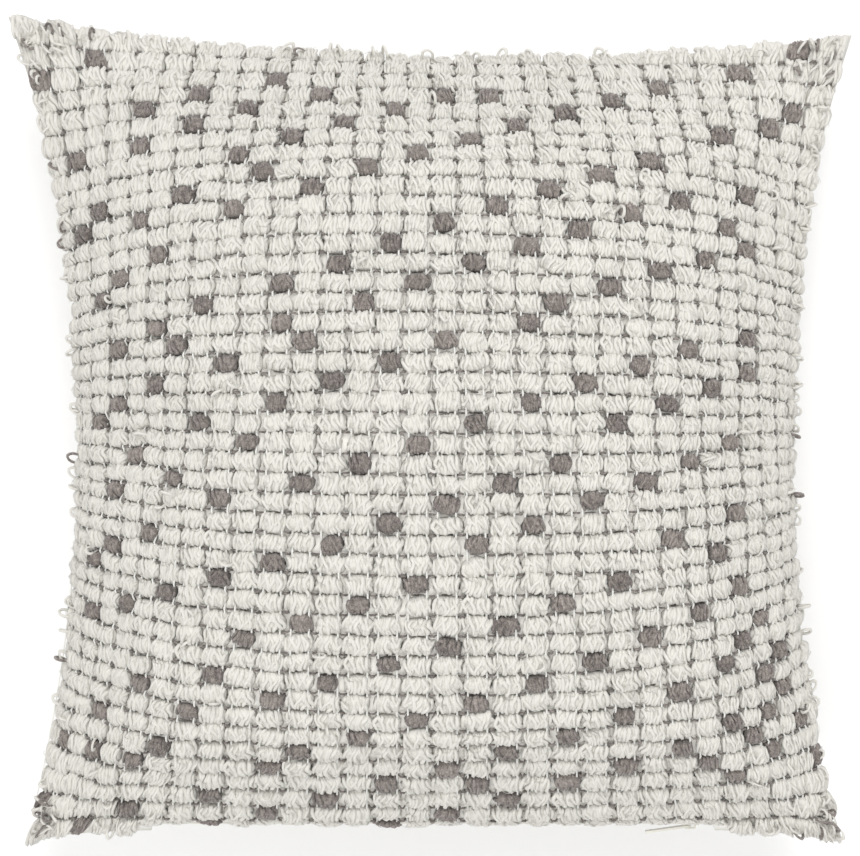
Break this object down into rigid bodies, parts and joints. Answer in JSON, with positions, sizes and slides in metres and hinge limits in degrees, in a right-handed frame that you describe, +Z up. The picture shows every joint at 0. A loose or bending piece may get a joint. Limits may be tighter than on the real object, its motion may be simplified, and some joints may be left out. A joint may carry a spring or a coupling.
{
  "type": "throw pillow",
  "caption": "Square throw pillow with a looped, tufted front, a plain back, a zip in one seam and a removable filled insert.",
  "frame": {"origin": "on the floor under the middle of the pillow, which lies on its back", "axes": "+Z up through the tufted face, -Y towards the side with the zip, +X along the zip to its closed end"},
  "size_m": [0.49, 0.478, 0.1656],
  "materials": {
    "ground_cloth": "plain handwoven cotton, matt",
    "back_cloth": "plain woven cotton, matt",
    "casing": "fine white cotton, matt",
    "filling": "loose polyester fibre",
    "thread": "spun sewing thread",
    "cream_yarn": "soft looped yarn, matt",
    "grey_yarn": "soft looped yarn, matt",
    "zip_tape": "woven tape",
    "zip_coil": "nylon coil",
    "zip_metal": "lacquered die-cast metal"
  },
  "bodies": {
    "pillow": {"cover_front_cloth": "ground_cloth", "cover_back_cloth": "back_cloth", "cover_seam_thread": "thread", "insert_front_casing": "casing", "insert_back_casing": "casing", "insert_seam_thread": "thread", "fibre_filling": "filling", "cream_loop_pile": "cream_yarn", "grey_loop_tufts": "grey_yarn", "zip_front_tape": "zip_tape", "zip_back_tape": "zip_tape", "zip_front_coil": "zip_coil", "zip_back_coil": "zip_coil", "zip_top_stops": "zip_metal", "zip_bottom_stop": "zip_metal", "zip_bar_tacks": "thread", "zip_front_stitching": "thread", "zip_back_stitching": "thread"},
    "slider": {"zip_slider": "zip_metal"},
    "pull_tab": {"zip_pull_tab": "zip_metal"}
  },
  "joints": [
    {"name": "zip_slide", "type": "slide", "parent": "pillow", "child": "slider", "axis": [-1, 0, 0], "range_m": [0, 0.2834]},
    {"name": "tab_swing", "type": "hinge", "parent": "slider", "child": "pull_tab", "pos_m": [0.1507, -0.23092, 0.07], "axis": [0, 0, 1], "range_deg": [0, 130]}
  ]
}
